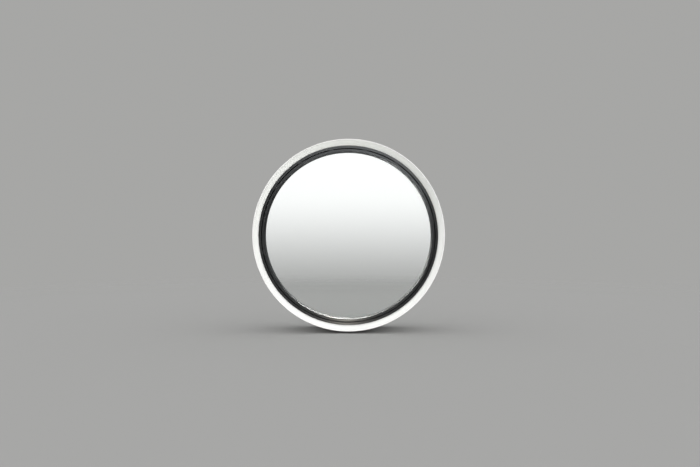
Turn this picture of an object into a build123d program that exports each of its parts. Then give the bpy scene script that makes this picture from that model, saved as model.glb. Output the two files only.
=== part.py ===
from build123d import *
import math
import os

# Round fixed window (porthole light) with a thermally broken aluminium frame,
# a sealed double-glazed unit held by a room-side bead, and a deep round
# reveal liner on the room side.
#
# Frame of reference: the window's axis lies along Y. -Y is the room, +Y is
# outdoors, +Z is up. The origin is on the axis, in the plane where the fixing
# lugs bear on the wall.
#
# Every ring is drawn as a section (radius from the axis, depth from the room
# face of the frame) and turned about the axis.

# ---------------------------------------------------------------- dimensions
# frame
R_OUT = 550.0          # outside radius of the frame, the seat in the wall
R_REBATE = 520.5       # radius of the glazing rebate, and of the room face's inner edge
R_LIP = 499.0          # daylight radius at the weather-side lip
DEPTH = 70.0           # room face to weather face
D_INNER = 26.0         # depth of the room-side shell
D_OUTER = 44.0         # where the weather-side shell begins
D_LIP = 58.0           # room side of the weather-side lip
WALL = 2.0             # general wall of the extrusions
HEAD = 3.0             # depth of the dovetails that hold the thermal breaks
R_BREAK_IN = 525.0     # middle of the inner thermal break
R_BREAK_OUT = 544.0    # middle of the outer thermal break

# fixing lugs, held in a groove round the frame
LUG_T = 3.0
LUG_SETBACK = 5.0      # room face to the groove
R_GROOVE = 545.0
R_CHEEK = 548.5        # radius of the frame and the liner's flange on the room side of the groove
R_LUG = 575.0
LUG_W = 50.0
LUG_COUNT = 8
LUG_PHASE = 22.5
LUG_PCD = 1125.0
LUG_HOLE_R = 3.5
R_LOCK = 546.8
LOCK_R = 1.25

# sealed unit
PANE = 6.0
CAVITY = 16.0
D_GLASS = 26.0         # room face of the glass
R_GLASS = 515.0
R_SPACER = 503.5       # sight line of the spacer bar
SPACER_H = 6.5
SPACER_WALL = 0.8
BUTYL = 0.3
KEY_ARC = 7.0          # degrees of the spacer's hollow taken by its joining key

# glazing bead and its clips
R_BEAD_IN = 493.5      # sight line of the bead
R_BEAD_NOSE = 501.0    # where its splay meets its face
R_BEAD_OUT = 514.5
BEAD_DEPTH = 21.0
D_SPLAY = 13.9         # depth at which the splay ends and a straight land begins
CLIP_COUNT = 16
CLIP_ARC = 2.8
CLIP_SCREW_R = 1.5
CLIP_SCREW_L = 9.0

# reveal liner
LINER_R = 535.0        # inside radius of the white liner
LINER_T = 3.0
LINER_DEPTH = 256.0
TAPE = 1.0
LINER_SCREWS = 12
R_LINER_SCREW = 545.2
LINER_SCREW_R = 1.6

# blocks and drainage
BLOCK_SETTING_DEG = (246.0, 294.0)
BLOCK_LOCATION_DEG = (0.0, 60.0, 120.0, 180.0)
WEEP_DEG = (258.0, 270.0, 282.0)
R_WEEP = 535.0

Y_FACE = -(LUG_SETBACK + LUG_T)   # room face of the frame, on the Y axis

os.makedirs("parts", exist_ok=True)


# ------------------------------------------------------------------- helpers
def loop(points):
    """Closed wire in the section plane. A point is (radius, depth) with an
    optional corner radius."""
    n = len(points)
    pts = [Vector(p[0], p[1] + Y_FACE) for p in points]
    enter, leave, mids = [], [], []
    for i in range(n):
        p = pts[i]
        r = points[i][2] if len(points[i]) > 2 else 0
        if not r:
            enter.append(p)
            leave.append(p)
            mids.append(None)
            continue
        u = (pts[i - 1] - p).normalized()
        v = (pts[(i + 1) % n] - p).normalized()
        half = math.acos(max(-1.0, min(1.0, u.dot(v)))) / 2
        c = p + (u + v).normalized() * (r / math.sin(half))
        enter.append(p + u * (r / math.tan(half)))
        leave.append(p + v * (r / math.tan(half)))
        mids.append(c + (p - c).normalized() * r)
    edges = []
    for i in range(n):
        if mids[i] is not None:
            edges.append(Edge.make_three_point_arc(enter[i], mids[i], leave[i]))
        edges.append(Edge.make_line(leave[i], enter[(i + 1) % n]))
    return Wire(edges)


def turned(points, chambers=(), arc=360.0, at=0.0):
    """Solid turned about the window's axis. With arc under 360 it is a
    segment, centred on the angle at (degrees from +X towards +Z)."""
    face = Face(loop(points), [loop(c) for c in chambers])
    body = revolve(face, axis=Axis.Y, revolution_arc=arc)
    if arc < 360:
        body = body.rotate(Axis.Y, arc / 2 - arc)
        spot = body.center()
        body = body.rotate(Axis.Y, math.degrees(math.atan2(spot.Z, spot.X)))
        body = body.rotate(Axis.Y, -at)
    return body


def around(shape, at):
    """A piece drawn at +X, carried round the axis to the angle at."""
    return shape.rotate(Axis.Y, -at)


def spindle(points, origin, direction):
    """Small turned part: points are (radius, height) from origin along direction."""
    wire = Wire([Edge.make_line(Vector(points[i][0], 0, points[i][1]),
                                Vector(points[(i + 1) % len(points)][0], 0, points[(i + 1) % len(points)][1]))
                 for i in range(len(points))])
    body = revolve(Face(wire), axis=Axis.Z)
    return body.moved(Plane(origin=origin, z_dir=direction).location)


def hex_pocket(across, depth, origin, direction):
    """Hexagon socket cut, from origin along direction."""
    tool = extrude(RegularPolygon(across / math.sqrt(3), 6), amount=depth)
    return tool.moved(Plane(origin=origin, z_dir=direction).location)


def cut(body, tools):
    return body - Compound(children=[s for t in tools for s in t.solids()])


def save(name, *shapes):
    solids = [s for shape in shapes for s in shape.solids()]
    assert all(s.is_valid and s.volume > 0 for s in solids), name
    out = solids[0] if len(solids) == 1 else Compound(children=solids)
    export_step(out, f"parts/{name}.step")


def spread(count, phase=0.0):
    return [phase + 360.0 * i / count for i in range(count)]


def dovetail(r_mid, d_mouth, d_root, flip=False):
    """Four section points of a dovetail groove that opens at d_mouth."""
    pts = [(r_mid - 1.0, d_mouth), (r_mid - 1.8, d_root),
           (r_mid + 1.8, d_root), (r_mid + 1.0, d_mouth)]
    return pts[::-1] if flip else pts


Y = Vector(0, 1, 0)

# --------------------------------------------------------- frame, room side
# One rolled, welded extrusion with a closed chamber. The groove on its outside
# holds the lugs, and two dovetails hold the thermal breaks.
shell = turned(
    [(R_REBATE, 0, 0.8), (R_CHEEK, 0, 0.5), (R_CHEEK, LUG_SETBACK, 0.3), (R_GROOVE, LUG_SETBACK),
     (R_GROOVE, LUG_SETBACK + LUG_T), (R_OUT, LUG_SETBACK + LUG_T, 0.3), (R_OUT, D_INNER, 0.3)]
    + dovetail(R_BREAK_OUT, D_INNER, D_INNER - HEAD, flip=True)
    + dovetail(R_BREAK_IN, D_INNER, D_INNER - HEAD, flip=True)
    + [(R_REBATE, D_INNER, 0.3)],
    chambers=[[(R_REBATE + 2.5, WALL, 0.6), (543, WALL, 0.6), (543, 10, 0.4), (R_OUT - WALL, 10, 0.6),
               (R_OUT - WALL, 20.5, 0.6), (R_REBATE + 2.5, 20.5, 0.6)]])

liner_angles = spread(LINER_SCREWS)
lug_angles = spread(LUG_COUNT, LUG_PHASE)
clip_angles = spread(CLIP_COUNT, 11.25)

D_CLIP_SCREW = 17.0
pilots = [around(spindle([(0, 0), (LINER_SCREW_R, 0), (LINER_SCREW_R, 4.5), (0, 4.5)],
                         Vector(R_LINER_SCREW, Y_FACE, 0), Y), a) for a in liner_angles]
locks = [around(spindle([(0, 0), (LOCK_R, 0), (LOCK_R, LUG_SETBACK), (0, LUG_SETBACK)],
                        Vector(R_LOCK, Y_FACE, 0), Y), a) for a in lug_angles]
clip_holes = [around(spindle([(0, 0), (CLIP_SCREW_R, 0), (CLIP_SCREW_R, 4), (0, 4)],
                             Vector(R_REBATE - 0.5, Y_FACE + D_CLIP_SCREW, 0), Vector(1, 0, 0)), a)
              for a in clip_angles]
save("frame_inner_shell", cut(shell, pilots + locks + clip_holes))

# ------------------------------------------------------ frame, weather side
# The second extrusion carries the fixed lip that the glass is pressed against.
outer = turned(
    [(R_REBATE, D_OUTER, 0.3)]
    + dovetail(R_BREAK_IN, D_OUTER, D_OUTER + HEAD)
    + dovetail(R_BREAK_OUT, D_OUTER, D_OUTER + HEAD)
    + [(R_OUT, D_OUTER, 0.3), (R_OUT, DEPTH, 0.8), (R_LIP + 4, DEPTH, 1.5), (R_LIP, DEPTH - 4, 1.5),
       (R_LIP, D_LIP, 0.5), (505, D_LIP), (505, D_LIP + 3), (509, D_LIP + 3), (509, D_LIP),
       (R_REBATE, D_LIP, 0.4)],
    chambers=[
        [(R_REBATE + 2.5, 49.5, 0.6), (R_OUT - WALL, 49.5, 0.6), (R_OUT - WALL, DEPTH - WALL, 0.6),
         (511.5, DEPTH - WALL, 0.6), (511.5, 60, 0.6), (R_REBATE + 2.5, 60, 0.4)],
        [(501.2, 63.2, 0.4), (509.5, 63.2, 0.4), (509.5, 68, 0.4), (504.6, 68, 0.6), (501.2, 64.6, 0.6)],
    ])
# drain slots: rebate floor into the chamber, and chamber out to the weather face
slots = []
for a in WEEP_DEG:
    slots.append(around(Pos(R_REBATE + 1.25, Y_FACE + 53.0, 0) * Box(6, 5, 24), a))
    slots.append(around(Pos(R_WEEP, Y_FACE + DEPTH - 1, 0) * Box(5, 6, 30), a))
save("frame_outer_shell", cut(outer, slots))

# ------------------------------------------------------------ thermal breaks
for name, r in (("thermal_break_inner", R_BREAK_IN), ("thermal_break_outer", R_BREAK_OUT)):
    save(name, turned([(r - 1.8, D_INNER - HEAD), (r + 1.8, D_INNER - HEAD), (r + 1, D_INNER),
                       (r + 1, D_OUTER), (r + 1.8, D_OUTER + HEAD), (r - 1.8, D_OUTER + HEAD),
                       (r - 1, D_OUTER), (r - 1, D_INNER)]))

# -------------------------------------------------------------- sealed unit
D_OUT_PANE = D_GLASS + PANE + CAVITY
ARRIS = 0.8


def pane(d):
    return turned([(0, d), (R_GLASS - ARRIS, d), (R_GLASS, d + ARRIS), (R_GLASS, d + PANE - ARRIS),
                   (R_GLASS - ARRIS, d + PANE), (0, d + PANE)])


save("glass_pane_room", pane(D_GLASS))
save("glass_pane_outside", pane(D_OUT_PANE))

s0, s1 = D_GLASS + PANE + BUTYL, D_OUT_PANE - BUTYL
r0, r1 = R_SPACER, R_SPACER + SPACER_H
w = SPACER_WALL
hollow = [(r0 + w, s0 + w), (r1 - w, s0 + w), (r1 - w, s1 - w), (r0 + w, s1 - w)]
save("spacer_bar", turned([(r0, s0, 0.5), (r1, s0, 0.5), (r1, s1, 0.5), (r0, s1, 0.5)], chambers=[hollow]))
save("spacer_key", turned(hollow, arc=KEY_ARC, at=90))
save("desiccant", turned(hollow, arc=360 - KEY_ARC, at=270))
for name, d in (("butyl_seal_room", D_GLASS + PANE), ("butyl_seal_outside", s1)):
    save(name, turned([(r0 + 0.7, d), (r1 - 0.7, d), (r1 - 0.7, d + BUTYL), (r0 + 0.7, d + BUTYL)]))
save("edge_sealant", turned([(r1, D_GLASS + PANE), (R_GLASS - ARRIS, D_GLASS + PANE),
                             (R_GLASS - ARRIS, D_OUT_PANE), (r1, D_OUT_PANE)]))

# ------------------------------------------------------------------ gaskets
G0, G1 = R_BEAD_IN + 5.5, R_BEAD_IN + 8.5   # sides of the gasket's foot
D_FOOT = BEAD_DEPTH - 3.5
save("gasket_room", turned([(R_BEAD_IN + 1.5, BEAD_DEPTH), (G0, BEAD_DEPTH), (G0, D_FOOT), (G1, D_FOOT),
                            (G1, BEAD_DEPTH), (G1 + 3, BEAD_DEPTH, 0.5), (G1 + 3, D_GLASS),
                            (R_BEAD_IN + 0.6, D_GLASS)]))
save("gasket_outside", turned([(501.8, D_LIP - 4), (512, D_LIP - 4), (512, D_LIP), (509, D_LIP),
                               (509, D_LIP + 3), (505, D_LIP + 3), (505, D_LIP), (502.6, D_LIP)]))

# ------------------------------------------------- glazing bead and its clips
# Hollow rolled bead whose inner side is a splay and a short straight land, with
# a quirk line where the splay meets the face, a groove for the gasket's foot
# and a groove that the clips snap into.
C0, C1 = 12.0, 14.0
save("glazing_bead", turned(
    [(R_BEAD_IN, D_SPLAY, 1.0), (R_BEAD_NOSE, 0, 0.5), (R_BEAD_NOSE + 1.4, 0), (R_BEAD_NOSE + 2.0, 0.7),
     (R_BEAD_NOSE + 2.6, 0), (R_BEAD_OUT, 0, 0.6), (R_BEAD_OUT, C0), (R_BEAD_OUT - 1, C0),
     (R_BEAD_OUT - 1, C1), (R_BEAD_OUT, C1), (R_BEAD_OUT, BEAD_DEPTH, 0.3), (G1, BEAD_DEPTH), (G1, D_FOOT),
     (G0, D_FOOT), (G0, BEAD_DEPTH), (R_BEAD_IN, BEAD_DEPTH, 0.3)],
    chambers=[[(R_BEAD_IN + 3.0, 15.5, 0.5), (R_BEAD_NOSE + 1.0, 2.4, 0.5), (R_BEAD_OUT - 2.7, 2.4, 0.5),
               (R_BEAD_OUT - 2.7, 15.5, 0.5)]]))

CSK = 1.5
clips, clip_screws = [], []
for a in clip_angles:
    body = turned([(R_BEAD_OUT, 8), (R_REBATE, 8), (R_REBATE, 20), (R_BEAD_OUT, 20), (R_BEAD_OUT, C1),
                   (R_BEAD_OUT - 1, C1), (R_BEAD_OUT - 1, C0), (R_BEAD_OUT, C0)], arc=CLIP_ARC, at=a)
    start = Vector(R_BEAD_OUT + 0.3, Y_FACE + D_CLIP_SCREW, 0)
    form = [(0, 0), (2.7, 0), (CLIP_SCREW_R, CSK), (CLIP_SCREW_R, CLIP_SCREW_L), (0, CLIP_SCREW_L)]
    seat = [(0, -1.0), (2.7, -1.0), (2.7, 0), (CLIP_SCREW_R, CSK), (CLIP_SCREW_R, CLIP_SCREW_L), (0, CLIP_SCREW_L)]
    clips.append(cut(body, [around(spindle(seat, start, Vector(1, 0, 0)), a)]))
    clip_screws.append(around(cut(spindle(form, start, Vector(1, 0, 0)),
                                  [hex_pocket(1.6, 1.0, start, Vector(1, 0, 0))]), a))
save("bead_clips", *clips)
save("bead_clip_screws", *clip_screws)

# ------------------------------------------------ blocks that carry the unit
deg = 180 / (math.pi * (R_GLASS + R_REBATE) / 2)
block = [(R_GLASS, 24), (R_REBATE, 24), (R_REBATE, 56), (R_GLASS, 56)]
save("setting_blocks", *[turned(block, arc=80 * deg, at=a) for a in BLOCK_SETTING_DEG])
save("location_blocks", *[turned(block, arc=45 * deg, at=a) for a in BLOCK_LOCATION_DEG])

# ------------------------------------------------------------- reveal liner
# Rolled sheet tube with a flange turned outwards at the frame, on a foam tape.
f0, f1 = -(TAPE + LINER_T), -TAPE
liner = turned([(LINER_R, -LINER_DEPTH, 0.9), (LINER_R + LINER_T, -LINER_DEPTH, 0.9),
                (LINER_R + LINER_T, f0, 1.5), (R_CHEEK, f0, 0.5), (R_CHEEK, f1, 0.5), (LINER_R, f1, 1.2)])
HEAD_R = 2.9
liner_seats, tape_holes, liner_screws = [], [], []
for a in liner_angles:
    at = Vector(R_LINER_SCREW, Y_FACE + f0, 0)
    r = LINER_SCREW_R
    seat = [(0, -1), (HEAD_R, -1), (HEAD_R, 0.1), (r, 1.7), (r, 5), (0, 5)]
    form = [(0, 0.1), (HEAD_R, 0.1), (r, 1.7), (r, -f0 + 4.5), (0, -f0 + 4.5)]
    liner_seats.append(around(spindle(seat, at, Y), a))
    tape_holes.append(around(spindle([(0, 2), (r, 2), (r, 5), (0, 5)], at, Y), a))
    liner_screws.append(around(cut(spindle(form, at, Y), [hex_pocket(2.5, 1.3, at + Y * 0.1, Y)]), a))
save("reveal_liner", cut(liner, liner_seats))
save("liner_tape", cut(turned([(LINER_R + 1, -TAPE), (R_CHEEK - 0.5, -TAPE), (R_CHEEK - 0.5, 0), (LINER_R + 1, 0)]),
                       tape_holes))
save("liner_screws", *liner_screws)

# -------------------------------------------------------------- fixing lugs
# Flat plates turned into the frame's groove, each locked by a set screw.
lugs, lock_screws = [], []
d0, d1 = LUG_SETBACK, LUG_SETBACK + LUG_T
ring = turned([(R_GROOVE, d0), (R_LUG, d0), (R_LUG, d1), (R_GROOVE, d1)], arc=12, at=0)
band = Pos((R_GROOVE + R_LUG) / 2, Y_FACE + (d0 + d1) / 2, 0) * Box(60, 20, LUG_W)
blank = ring & band
tips = [e for e in blank.edges().filter_by(Axis.Y) if abs(e.center().X) > R_LUG - 5]
blank = fillet(tips, 7)
bolt = spindle([(0, -1), (LUG_HOLE_R, -1), (LUG_HOLE_R, LUG_T + 1), (0, LUG_T + 1)],
               Vector(LUG_PCD / 2, Y_FACE + d0, 0), Y)
dimple = spindle([(0, -1), (LOCK_R, -1), (LOCK_R, 1.5), (0, 1.5)], Vector(R_LOCK, Y_FACE + d0, 0), Y)
plate = cut(blank, [bolt, dimple])
start = Vector(R_LOCK, Y_FACE + 0.5, 0)
grub = cut(spindle([(0, 0), (LOCK_R, 0), (LOCK_R, 6), (0, 6)], start, Y), [hex_pocket(1.3, 1.6, start, Y)])
save("fixing_lugs", *[around(plate, a) for a in lug_angles])
save("lug_lock_screws", *[around(grub, a) for a in lug_angles])

# ----------------------------------------------------------------- weep caps
# Hooded covers over the drain slots, open on the side away from the glass.
caps = []
CAP_H, CAP_L, CAP_OUT = 13.0, 40.0, 7.0
y0 = Y_FACE + DEPTH
hood = Pos(R_WEEP, y0 + CAP_OUT / 2, 0) * Box(CAP_H, CAP_OUT, CAP_L)
front = [e for e in hood.edges() if e.center().Y > y0 + CAP_OUT - 0.01]
hood = fillet(front, 2.2)
inside = Pos(R_WEEP, y0 + (CAP_OUT - 1.6) / 2, 0) * Box(CAP_H - 3.2, CAP_OUT - 1.6, CAP_L - 3.2)
mouth = Pos(R_WEEP + CAP_H / 2, y0 + 2.2, 0) * Box(6, 2.4, CAP_L - 12)
tongues = [Pos(R_WEEP, y0 - 1.0 + 1.2, z) * Box(5.0, 4.4, 1.6) for z in (-14.2, 14.2)]
bridge = [Pos(R_WEEP, y0 + 1.2, z) * Box(CAP_H - 3.2, 1.2, 3.0) for z in (-16.0, 16.0)]
cap = hood - inside - mouth
for piece in tongues + bridge:
    cap = cap + piece
caps = [around(cap, a) for a in WEEP_DEG]
save("weep_caps", *caps)
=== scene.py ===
import math

import bpy
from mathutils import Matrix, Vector


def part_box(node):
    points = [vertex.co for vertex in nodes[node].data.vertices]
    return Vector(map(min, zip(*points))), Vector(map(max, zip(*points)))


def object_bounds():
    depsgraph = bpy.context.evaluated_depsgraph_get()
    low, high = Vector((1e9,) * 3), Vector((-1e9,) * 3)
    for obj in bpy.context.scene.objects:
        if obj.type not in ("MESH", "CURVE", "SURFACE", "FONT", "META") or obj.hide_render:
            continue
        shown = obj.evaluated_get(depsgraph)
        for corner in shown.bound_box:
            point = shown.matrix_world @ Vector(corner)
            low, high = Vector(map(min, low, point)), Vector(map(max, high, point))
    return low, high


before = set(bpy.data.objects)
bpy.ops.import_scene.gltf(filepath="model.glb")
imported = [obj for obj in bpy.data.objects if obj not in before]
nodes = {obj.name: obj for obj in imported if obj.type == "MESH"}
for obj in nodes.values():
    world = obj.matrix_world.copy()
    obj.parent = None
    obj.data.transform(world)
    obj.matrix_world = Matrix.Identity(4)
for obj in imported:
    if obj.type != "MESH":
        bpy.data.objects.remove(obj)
cad_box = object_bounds()

# Window axis along Y, room side at -Y, metres.
Y_ROOM_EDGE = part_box("reveal_liner")[0].y
Y_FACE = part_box("frame_inner_shell")[0].y
Z_LOW = cad_box[0].z
FLOOR = 0.555          # tone of the plain floor's paint

scene = bpy.context.scene
scene.view_settings.view_transform = "Standard"
scene.view_settings.look = "None"
scene.view_settings.exposure = 0.0
scene.view_settings.gamma = 1.0


# ---------------------------------------------------------------- camera
# A 35 mm view straight along the window's axis. The axis meets the picture
# plane a few pixels from the middle of the 700 x 467 frame.
F_PX = 680.6
VANISH = (344.2, 237.6)
cam_data = bpy.data.cameras.new("camera")
cam = bpy.data.objects.new("camera", cam_data)
scene.collection.objects.link(cam)
cam_data.sensor_width = 36.0
cam_data.lens = F_PX * 36.0 / 700.0
cam_data.shift_x = (350.0 - VANISH[0]) / 700.0
cam_data.shift_y = (VANISH[1] - 233.5) / 700.0
cam_data.clip_start = 0.05
cam_data.clip_end = 80.0
cam.location = (-0.0245, Y_ROOM_EDGE - 3.802, -0.0138)
cam.rotation_euler = (math.radians(90), 0, 0)
scene.camera = cam


# ------------------------------------------------------------- node helpers
class Tree:
    """Short way to write a node tree."""

    def __init__(self, name, world=False):
        if world:
            self.id = bpy.data.worlds.new(name)
        else:
            self.id = bpy.data.materials.new(name)
        self.id.use_nodes = True
        self.t = self.id.node_tree
        self.t.nodes.clear()
        self.out = self.t.nodes.new("ShaderNodeOutputWorld" if world else "ShaderNodeOutputMaterial")

    def add(self, kind, **settings):
        n = self.t.nodes.new(kind)
        for k, v in settings.items():
            setattr(n, k, v)
        return n

    def put(self, value, socket):
        if hasattr(value, "is_output") or isinstance(value, bpy.types.NodeSocket):
            self.t.links.new(value, socket)
        else:
            socket.default_value = value

    def math(self, op, a, b=0.0, c=None, clamp=False):
        n = self.add("ShaderNodeMath", operation=op, use_clamp=clamp)
        self.put(a, n.inputs[0])
        self.put(b, n.inputs[1])
        if c is not None:
            self.put(c, n.inputs[2])
        return n.outputs[0]

    def span(self, x, lo, hi, to_lo=0.0, to_hi=1.0, smooth=True):
        n = self.add("ShaderNodeMapRange", interpolation_type="SMOOTHSTEP" if smooth else "LINEAR")
        self.put(x, n.inputs[0])
        for i, v in enumerate((lo, hi, to_lo, to_hi)):
            self.put(v, n.inputs[i + 1])
        return n.outputs[0]

    def mix(self, fac, a, b):
        n = self.add("ShaderNodeMix", data_type="RGBA")
        self.put(fac, n.inputs[0])
        self.put(a, n.inputs[6])
        self.put(b, n.inputs[7])
        return n.outputs[2]

    def ramp(self, fac, stops):
        n = self.add("ShaderNodeValToRGB")
        e = n.color_ramp.elements
        while len(e) < len(stops):
            e.new(0.5)
        for i, (pos, col) in enumerate(stops):
            e[i].position = pos
            e[i].color = col
        self.put(fac, n.inputs[0])
        return n.outputs[0]

    def noise(self, where, scale, detail=3.0, rough=0.5, dims="3D"):
        n = self.add("ShaderNodeTexNoise", noise_dimensions=dims)
        self.put(where, n.inputs["Vector"])
        n.inputs["Scale"].default_value = scale
        n.inputs["Detail"].default_value = detail
        n.inputs["Roughness"].default_value = rough
        return n.outputs["Fac"]

    def bump(self, height, strength, distance, normal=None):
        n = self.add("ShaderNodeBump")
        n.inputs["Strength"].default_value = strength
        n.inputs["Distance"].default_value = distance
        self.put(height, n.inputs["Height"])
        if normal is not None:
            self.put(normal, n.inputs["Normal"])
        return n.outputs["Normal"]

    def place(self):
        return self.add("ShaderNodeTexCoord").outputs["Object"]

    def xyz(self, vec):
        n = self.add("ShaderNodeSeparateXYZ")
        self.put(vec, n.inputs[0])
        return n.outputs

    def principled(self, **values):
        n = self.add("ShaderNodeBsdfPrincipled")
        for k, v in values.items():
            self.put(v, n.inputs[k.replace("_", " ")])
        return n

    def surface(self, shader):
        self.t.links.new(shader, self.out.inputs["Surface"])
        return self.id


def grey(v):
    return (v, v, v, 1.0)


# ---------------------------------------------------------------- materials
def ring_place(t):
    """Object coordinates, with the radius from the window's axis and the depth."""
    p = t.place()
    x, y, z = t.xyz(p)
    r = t.math("SQRT", t.math("ADD", t.math("MULTIPLY", x, x), t.math("MULTIPLY", z, z)))
    return p, x, y, z, r


def stretched(t, p, sx, sy, sz):
    n = t.add("ShaderNodeVectorMath", operation="MULTIPLY")
    t.put(p, n.inputs[0])
    n.inputs[1].default_value = (sx, sy, sz)
    return n.outputs[0]


def facing_up(t):
    return t.xyz(t.add("ShaderNodeNewGeometry").outputs["Normal"])[2]


def paint_white():
    """Satin white powder coat on rolled sheet: orange peel, faint handling
    marks, and a little dust where the inside faces up. The back, hidden in the
    wall, has a thin pale primer with overspray near the room edge."""
    t = Tree("liner_white_paint")
    p, x, y, z, r = ring_place(t)
    col = t.ramp(t.noise(p, 2.6, 3.0), [(0.34, (0.800, 0.797, 0.785, 1)), (0.68, (0.832, 0.832, 0.826, 1))])
    marks = t.span(t.noise(stretched(t, p, 1.0, 5.0, 1.0), 7.0, 6.0, 0.62), 0.58, 0.80)
    col = t.mix(t.math("MULTIPLY", marks, 0.35), col, (0.70, 0.69, 0.665, 1))
    up = t.span(facing_up(t), 0.45, 1.0)
    inside = t.span(r, 0.5345, 0.5358, 1.0, 0.0)
    specks = t.span(t.noise(p, 310.0, 3.0, 0.7), 0.60, 0.72)
    film = t.span(t.noise(p, 11.0, 5.0, 0.6), 0.35, 0.75, 0.25, 1.0)
    dust = t.math("MULTIPLY", t.math("MULTIPLY", up, inside), t.math("MULTIPLY", film, t.span(specks, 0.0, 1.0, 0.35, 1.0)))
    col = t.mix(t.math("MULTIPLY", dust, 0.22), col, (0.60, 0.58, 0.54, 1))
    rough = t.span(t.noise(p, 30.0, 4.0), 0.3, 0.7, 0.50, 0.62)
    rough = t.math("ADD", rough, t.math("ADD", t.math("MULTIPLY", dust, 0.20), t.math("MULTIPLY", marks, -0.08)))
    back = t.span(r, 0.5366, 0.5376)
    edge = t.math("ADD", y, t.math("MULTIPLY", t.noise(p, 9.0, 5.0, 0.65), 0.06))
    spray = t.span(edge, Y_ROOM_EDGE + 0.035, Y_ROOM_EDGE + 0.115, 1.0, 0.0)
    mist = t.span(t.math("ADD", t.noise(p, 750.0, 3.0, 0.7), t.math("MULTIPLY", spray, 0.5)), 0.50, 0.80)
    primer = t.ramp(t.noise(stretched(t, p, 1.0, 0.3, 1.0), 6.0, 5.0, 0.6),
                    [(0.35, (0.69, 0.695, 0.69, 1)), (0.70, (0.745, 0.745, 0.735, 1))])
    bare = t.math("MULTIPLY", back, t.math("SUBTRACT", 1.0, mist))
    col = t.mix(bare, col, primer)
    rough = t.math("ADD", rough, t.math("MULTIPLY", bare, 0.12))
    peel = t.bump(t.noise(p, 330.0, 2.0, 0.45), 0.16, 0.0007)
    wave = t.bump(t.noise(p, 9.0, 2.0), 0.05, 0.02, peel)
    s = t.principled(Base_Color=col, Roughness=rough, Normal=wave, IOR=1.47)
    s.inputs["Specular IOR Level"].default_value = 0.12
    return t.surface(s.outputs[0])


def paint_frame():
    """Anthracite fine-texture powder coat, with dust on what faces up, and painted shade: near black in the gap round
    the bead."""
    t = Tree("frame_powder_coat")
    p, x, y, z, r = ring_place(t)
    col = t.ramp(t.noise(p, 8.0, 3.0), [(0.3, (0.0150, 0.0160, 0.0175, 1)), (0.72, (0.0195, 0.0205, 0.0222, 1))])
    grit = t.noise(p, 1500.0, 2.0, 0.55)
    col = t.mix(t.math("MULTIPLY", t.span(grit, 0.52, 0.72), 0.5), col, (0.030, 0.0315, 0.034, 1))
    up = t.span(facing_up(t), 0.35, 1.0)
    film = t.span(t.noise(p, 26.0, 5.0, 0.62), 0.40, 0.72)
    specks = t.span(t.noise(p, 700.0, 2.0, 0.7), 0.60, 0.70)
    dust = t.math("MULTIPLY", up, t.math("ADD", t.math("MULTIPLY", film, 0.25), t.math("MULTIPLY", specks, 0.45)))
    col = t.mix(t.math("MULTIPLY", dust, 0.5), col, (0.17, 0.16, 0.145, 1))
    rough = t.span(t.noise(p, 45.0, 4.0), 0.3, 0.7, 0.335, 0.375)
    rough = t.math("ADD", rough, t.math("MULTIPLY", dust, 0.10))
    # Painted shade: the walls and floor of the gap between the bead and the frame are coloured near black, and made
    # rougher, to stand for the shade in that recess.
    gap_painted_shade = t.math("MULTIPLY", t.span(r, 0.5139, 0.5143), t.span(r, 0.5206, 0.5210, 1.0, 0.0))
    gap_painted_shade = t.math("MULTIPLY", gap_painted_shade, t.span(y, Y_FACE + 0.0006, Y_FACE + 0.0016))
    col = t.mix(gap_painted_shade, col, (0.005, 0.005, 0.005, 1))
    rough = t.math("ADD", rough, t.math("MULTIPLY", gap_painted_shade, 0.35))
    n = t.bump(grit, 0.30, 0.00016)
    n = t.bump(t.noise(p, 260.0, 2.0), 0.06, 0.0006, n)
    s = t.principled(Base_Color=col, Roughness=rough, Normal=n, IOR=1.5)
    return t.surface(s.outputs[0])


def rubber(name, base, rough0, rough1):
    """Extruded rubber: fine lines along its run and a pale bloom."""
    t = Tree(name)
    p, x, y, z, r = ring_place(t)
    col = t.ramp(t.noise(p, 70.0, 5.0, 0.6), [(0.38, (base, base, base, 1)), (0.78, (base * 2.1, base * 2.1, base * 2.0, 1))])
    up = t.span(facing_up(t), 0.4, 1.0)
    dust = t.math("MULTIPLY", up, t.span(t.noise(p, 500.0, 3.0, 0.7), 0.52, 0.70))
    col = t.mix(t.math("MULTIPLY", dust, 0.35), col, (0.15, 0.14, 0.125, 1))
    rough = t.span(t.noise(p, 220.0, 3.0), 0.3, 0.7, rough0, rough1)
    lines = t.add("ShaderNodeTexNoise", noise_dimensions="4D")
    t.put(stretched(t, p, 6.0, 1800.0, 6.0), lines.inputs["Vector"])
    t.put(t.math("MULTIPLY", r, 1800.0), lines.inputs["W"])
    lines.inputs["Scale"].default_value = 1.0
    lines.inputs["Detail"].default_value = 2.0
    n = t.bump(lines.outputs["Fac"], 0.25, 0.00008)
    s = t.principled(Base_Color=col, Roughness=rough, Normal=n)
    return t.surface(s.outputs[0])


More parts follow.
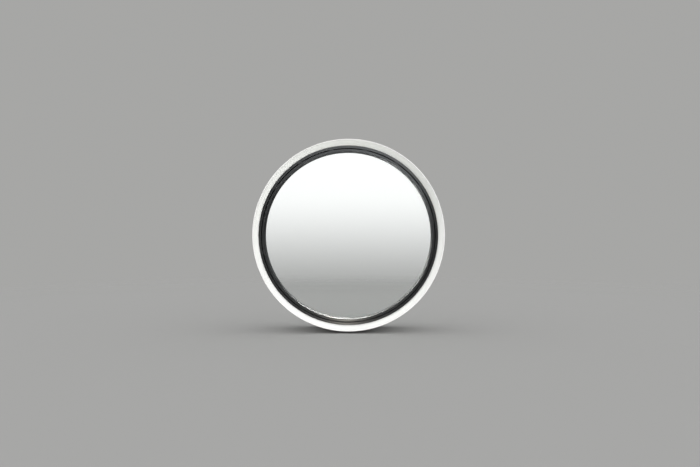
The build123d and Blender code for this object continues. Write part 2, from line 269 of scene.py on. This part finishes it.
def plastic(name, colour, rough0=0.45, rough1=0.6, grain=1500.0, fibre=0.0):
    """Moulded or extruded plastic with a fine grain."""
    t = Tree(name)
    p, x, y, z, r = ring_place(t)
    lo = tuple(c * 0.82 for c in colour) + (1,)
    hi = tuple(min(1, c * 1.18) for c in colour) + (1,)
    col = t.ramp(t.noise(p, 50.0, 4.0), [(0.35, lo), (0.7, hi)])
    if fibre:
        glint = t.span(t.noise(stretched(t, p, 300.0, 2600.0, 300.0), 1.0, 2.0), 0.60, 0.75)
        col = t.mix(t.math("MULTIPLY", glint, fibre), col, (0.10, 0.10, 0.10, 1))
    up = t.span(facing_up(t), 0.5, 1.0)
    dust = t.math("MULTIPLY", up, t.span(t.noise(p, 420.0, 3.0, 0.7), 0.50, 0.72))
    col = t.mix(t.math("MULTIPLY", dust, 0.25), col, (0.17, 0.16, 0.145, 1))
    rough = t.span(t.noise(p, 150.0, 3.0), 0.3, 0.7, rough0, rough1)
    n = t.bump(t.noise(p, grain, 2.0), 0.22, 0.00010)
    s = t.principled(Base_Color=col, Roughness=rough, Normal=n)
    return t.surface(s.outputs[0])


def galvanised():
    """Hot-dip zinc: spangled crystals of slightly different tone and gloss."""
    t = Tree("galvanised_zinc")
    p = t.place()
    warp = t.add("ShaderNodeTexNoise")
    t.put(p, warp.inputs["Vector"])
    warp.inputs["Scale"].default_value = 160.0
    moved = t.add("ShaderNodeVectorMath", operation="MULTIPLY_ADD")
    t.put(warp.outputs["Color"], moved.inputs[0])
    moved.inputs[1].default_value = (0.003, 0.003, 0.003)
    t.put(p, moved.inputs[2])
    cells = t.add("ShaderNodeTexVoronoi", feature="F1")
    t.put(moved.outputs[0], cells.inputs["Vector"])
    cells.inputs["Scale"].default_value = 230.0
    tone = t.xyz(cells.outputs["Color"])[0]
    col = t.ramp(tone, [(0.0, (0.45, 0.46, 0.475, 1)), (0.5, (0.50, 0.51, 0.525, 1)), (1.0, (0.565, 0.575, 0.59, 1))])
    stain = t.span(t.noise(p, 60.0, 5.0, 0.65), 0.55, 0.75)
    col = t.mix(t.math("MULTIPLY", stain, 0.35), col, (0.52, 0.52, 0.51, 1))
    rough = t.math("ADD", t.span(tone, 0.0, 1.0, 0.40, 0.45), t.math("MULTIPLY", stain, 0.16))
    n = t.bump(tone, 0.04, 0.0002)
    n = t.bump(t.noise(p, 1400.0, 3.0, 0.6), 0.10, 0.0001, n)
    s = t.principled(Base_Color=col, Roughness=rough, Normal=n)
    s.inputs["Metallic"].default_value = 1.0
    return t.surface(s.outputs[0])


def bright_zinc():
    """Zinc-plated screws: turned marks and a dull film in patches."""
    t = Tree("zinc_plated_steel")
    p = t.place()
    col = t.ramp(t.noise(p, 420.0, 4.0, 0.6), [(0.3, (0.42, 0.43, 0.45, 1)), (0.7, (0.62, 0.63, 0.64, 1))])
    film = t.span(t.noise(p, 900.0, 3.0), 0.45, 0.7)
    rough = t.span(film, 0.0, 1.0, 0.24, 0.42)
    n = t.bump(t.noise(stretched(t, p, 1.0, 6.0, 1.0), 1600.0, 2.0), 0.15, 0.00005)
    s = t.principled(Base_Color=col, Roughness=rough, Normal=n)
    s.inputs["Metallic"].default_value = 1.0
    return t.surface(s.outputs[0])


def spacer_black():
    """Black spacer bar: drawn lines and two rows of breather slits along the
    middle of its inner face."""
    t = Tree("spacer_black")
    p, x, y, z, r = ring_place(t)
    lines = t.noise(stretched(t, p, 4.0, 2400.0, 4.0), 1.0, 2.0)
    col = t.ramp(lines, [(0.3, (0.014, 0.014, 0.015, 1)), (0.7, (0.022, 0.022, 0.023, 1))])
    ang = t.math("ARCTAN2", z, x)
    step = t.math("FRACT", t.math("MULTIPLY", ang, 503.5 / 4.0))
    dash = t.math("MULTIPLY", t.math("GREATER_THAN", step, 0.35), t.math("LESS_THAN", step, 0.75))
    off = t.math("SUBTRACT", t.math("ABSOLUTE", t.math("SUBTRACT", y, 0.032)), 0.0016)
    row = t.math("LESS_THAN", t.math("ABSOLUTE", off), 0.00022)
    slit = t.math("MULTIPLY", t.math("MULTIPLY", dash, row), t.math("LESS_THAN", r, 0.5039))
    col = t.mix(slit, col, (0.001, 0.001, 0.001, 1))
    rough = t.span(lines, 0.3, 0.7, 0.36, 0.46)
    n = t.bump(lines, 0.10, 0.00005)
    s = t.principled(Base_Color=col, Roughness=rough, Normal=n)
    return t.surface(s.outputs[0])


def beads():
    t = Tree("desiccant_beads")
    p = t.place()
    cells = t.add("ShaderNodeTexVoronoi", feature="F1")
    t.put(p, cells.inputs["Vector"])
    cells.inputs["Scale"].default_value = 900.0
    col = t.ramp(t.xyz(cells.outputs["Color"])[0], [(0.0, (0.50, 0.43, 0.33, 1)), (1.0, (0.66, 0.60, 0.50, 1))])
    n = t.bump(cells.outputs["Distance"], 0.8, 0.0008)
    s = t.principled(Base_Color=col, Roughness=0.85, Normal=n)
    return t.surface(s.outputs[0])


def glass():
    t = Tree("clear_float_glass")
    path = t.add("ShaderNodeLightPath")
    s = t.principled()
    s.inputs["Base Color"].default_value = (0.985, 0.995, 0.99, 1)
    s.inputs["Roughness"].default_value = 0.0
    s.inputs["IOR"].default_value = 1.5
    s.inputs["Transmission Weight"].default_value = 1.0
    clear = t.add("ShaderNodeBsdfTransparent")
    clear.inputs[0].default_value = (0.935, 0.945, 0.94, 1)
    lamp = t.math("MAXIMUM", path.outputs["Is Shadow Ray"], path.outputs["Is Diffuse Ray"])
    mirrored = t.math("SUBTRACT", path.outputs["Is Glossy Ray"], path.outputs["Is Transmission Ray"], clamp=True)
    lamp = t.math("MAXIMUM", lamp, mirrored)
    mix = t.add("ShaderNodeMixShader")
    t.put(lamp, mix.inputs[0])
    t.t.links.new(s.outputs[0], mix.inputs[1])
    t.t.links.new(clear.outputs[0], mix.inputs[2])
    return t.surface(mix.outputs[0])


M = {
    "white": paint_white(),
    "frame": paint_frame(),
    "gasket": rubber("gasket_epdm", 0.010, 0.5, 0.7),
    "sealant": rubber("unit_sealant", 0.010, 0.6, 0.8),
    "foam": rubber("foam_tape", 0.03, 0.8, 0.95),
    "polyamide": plastic("glass_filled_polyamide", (0.016, 0.016, 0.017), 0.5, 0.65, 1500.0, 0.25),
    "cap": plastic("weep_cap_plastic", (0.018, 0.019, 0.021), 0.38, 0.52),
    "block": plastic("block_plastic", (0.016, 0.017, 0.019), 0.5, 0.65),
    "spacer": spacer_black(),
    "galvanised": galvanised(),
    "zinc": bright_zinc(),
    "desiccant": beads(),
    "glass": glass(),
}
WEARS = {
    "reveal_liner": "white",
    "frame_inner_shell": "frame", "frame_outer_shell": "frame", "glazing_bead": "frame",
    "gasket_room": "gasket", "gasket_outside": "gasket",
    "edge_sealant": "sealant", "butyl_seal_room": "sealant", "butyl_seal_outside": "sealant",
    "liner_tape": "foam",
    "thermal_break_inner": "polyamide", "thermal_break_outer": "polyamide", "bead_clips": "polyamide",
    "weep_caps": "cap",
    "setting_blocks": "block", "location_blocks": "block",
    "spacer_bar": "spacer",
    "spacer_key": "zinc", "liner_screws": "zinc", "bead_clip_screws": "zinc", "lug_lock_screws": "zinc",
    "fixing_lugs": "galvanised",
    "desiccant": "desiccant",
    "glass_pane_room": "glass", "glass_pane_outside": "glass",
}
for name, o in nodes.items():
    for s in o.material_slots:
        s.material = M[WEARS[name]]

# ------------------------------------------------------- floor and surroundings
BACK = 0.385          # tone of the plain surroundings
t = Tree("floor_plain")
p = t.place()
x, y, z = t.xyz(p)
rad = t.math("SQRT", t.math("ADD", t.math("MULTIPLY", x, x), t.math("MULTIPLY", y, y)))
fade = t.span(rad, 2.0, 6.0)
s = t.principled(Roughness=0.9)
s.inputs["Base Color"].default_value = (FLOOR, FLOOR, FLOOR * 0.985, 1)
s.inputs["Specular IOR Level"].default_value = 0.0
clear = t.add("ShaderNodeBsdfTransparent")
mix = t.add("ShaderNodeMixShader")
t.put(fade, mix.inputs[0])
t.t.links.new(s.outputs[0], mix.inputs[1])
t.t.links.new(clear.outputs[0], mix.inputs[2])
floor_mat = t.surface(mix.outputs[0])
me = bpy.data.meshes.new("floor")
N, R = 96, 6.2
me.from_pydata([(R * math.cos(2 * math.pi * i / N), R * math.sin(2 * math.pi * i / N), 0) for i in range(N)],
               [], [list(range(N))])
floor = bpy.data.objects.new("floor", me)
floor.location = (0, 0, Z_LOW - 0.0004)
scene.collection.objects.link(floor)
me.materials.append(floor_mat)

w = Tree("surroundings", world=True)
scene.world = w.id
d = w.add("ShaderNodeTexCoord").outputs["Generated"]
x, y, z = w.xyz(d)


def scaled(col, by):
    n = w.add("ShaderNodeVectorMath", operation="SCALE")
    w.put(col, n.inputs[0])
    w.put(by, n.inputs["Scale"])
    return n.outputs[0]


# Even soft light from above the horizon.
outside = w.span(y, -0.12, 0.30)
above = w.span(z, -0.02, 0.10)
lit = scaled((1.0, 1.0, 1.0), w.math("MULTIPLY", above, 0.70))
back = (BACK, BACK, BACK * 0.98, 1)
through = w.mix(w.span(z, -0.10, 0.07), (0.41, 0.41, 0.405, 1), (1.12, 1.12, 1.12, 1))
path = w.add("ShaderNodeLightPath")
seen = w.mix(path.outputs["Is Transmission Ray"], lit, w.mix(outside, back, through))
seen = w.mix(path.outputs["Is Camera Ray"], seen, back)
bg = w.add("ShaderNodeBackground")
w.put(seen, bg.inputs[0])
bg.inputs[1].default_value = 1.0
w.t.links.new(bg.outputs[0], w.out.inputs["Surface"])


def lamp(name, place, aim, size, power, colour, spread, lights, glossy=True):
    """Soft area lamp that lights the named nodes and isn't seen itself."""
    data = bpy.data.lights.new(name, "AREA")
    data.shape = "RECTANGLE"
    data.size, data.size_y = size
    data.energy = power
    data.color = colour
    data.spread = math.radians(spread)
    o = bpy.data.objects.new(name, data)
    scene.collection.objects.link(o)
    o.location = place
    o.rotation_euler = (Vector(aim) - Vector(place)).to_track_quat("-Z", "Y").to_euler()
    o.visible_camera = False
    o.visible_transmission = False
    o.visible_glossy = glossy
    c = bpy.data.collections.new(name + "_lights")
    for n in lights:
        c.objects.link(nodes[n])
    o.light_linking.receiver_collection = c
    return o


FACES = ["frame_inner_shell", "glazing_bead", "bead_clips", "gasket_room"]
LINER = ["reveal_liner"]
BEAD = ["glazing_bead"]
BACKS = ["frame_outer_shell", "thermal_break_inner", "thermal_break_outer", "fixing_lugs", "lug_lock_screws",
         "weep_caps", "gasket_outside"]
NEUTRAL = (1.0, 0.970, 0.980)
GREEN = (1.0, 0.990, 0.945)
SKY = (1.0, 0.975, 0.96)


def across(clock):
    c = math.radians(clock)
    return math.cos(c), math.sin(c)


# Behind the glass and within the opening, so that they light only the liner's
# inside, on the side opposite the lamp.
for clock, power, tint in ((0, 1.99, NEUTRAL), (60, 1.80, NEUTRAL), (240, 2.22, GREEN), (300, 0.88, GREEN)):
    u, v = across(clock)
    lamp("pool_%d" % clock, (0.36 * u, 0.26, 0.36 * v), (-0.53 * u, -0.12, -0.53 * v), (0.20, 0.20), power, tint,
         160.0, LINER, False)
for clock, power in ((0, 1.96), (60, 0.90), (120, 4.30)):
    u, v = across(clock)
    lamp("deep_%d" % clock, (0.16 * u, 1.10, 0.16 * v), (-0.53 * u, -0.20, -0.53 * v), (0.35, 0.35), power, NEUTRAL,
         120.0, LINER, False)
# Sky light, 62 degrees off the axis, that the bead's splay mirrors to the room.
for clock, power in ((60, 3.2), (75, 13.6), (90, 14.6), (120, 2.6), (150, 7.8), (180, 0.3)):
    u, v = across(clock)
    lamp("sky_%d" % clock, (1.6 * u, 1.1, 1.6 * v), (-0.5 * u, 0.0, -0.5 * v), (0.9, 0.9), power, SKY, 100.0, BEAD)
# The same from the ground outdoors, for the splay's upper part.
lamp("ground_60", (0.26, 0.53, -0.45), (-0.25, 0.0, 0.43), (0.3, 0.2), 0.088, SKY, 100.0, BEAD)
lamp("ground_120", (-0.26, 0.53, -0.45), (0.25, 0.0, 0.43), (0.3, 0.2), 0.54, SKY, 100.0, BEAD)
lamp("ground_150", (-0.78, 0.73, -0.45), (0.43, 0.0, 0.25), (0.3, 0.2), 0.67, SKY, 100.0, BEAD)
# From the room: on the liner's thin edge, then on the dark faces.
lamp("edge_front", (0.0, -3.4, 0.2), (0.0, 0.0, 0.0), (1.0, 1.0), 12.7, NEUTRAL, 60.0, LINER, False)
lamp("low_front", (0.3, -3.3, -0.35), (0.1, 0.0, 1.9), (1.2, 0.4), 28.0, (0.95, 0.98, 1.0), 50.0, FACES)
lamp("low_front_right", (0.9, -3.3, -0.35), (0.5, 0.0, 1.7), (0.8, 0.4), 18.4, (0.95, 0.98, 1.0), 50.0, FACES)
lamp("sill_glint", (-0.01, -0.55, -0.50), (-0.03, 0.0, -0.51), (0.06, 0.03), 0.16, (1.0, 0.93, 0.82), 60.0, FACES)
# Outdoors, on the weather side, which the room doesn't see.
lamp("weather_key", (-1.3, 2.6, 1.7), (0.0, 0.05, 0.0), (2.2, 1.4), 36.0, (1.0, 0.99, 0.97), 140.0, BACKS)
lamp("weather_fill", (1.9, 2.2, 0.1), (0.0, 0.05, 0.0), (1.2, 1.2), 22.0, (0.96, 0.98, 1.0), 140.0, BACKS)

scene.cycles.max_bounces = 14
scene.cycles.transmission_bounces = 12
scene.cycles.transparent_max_bounces = 16
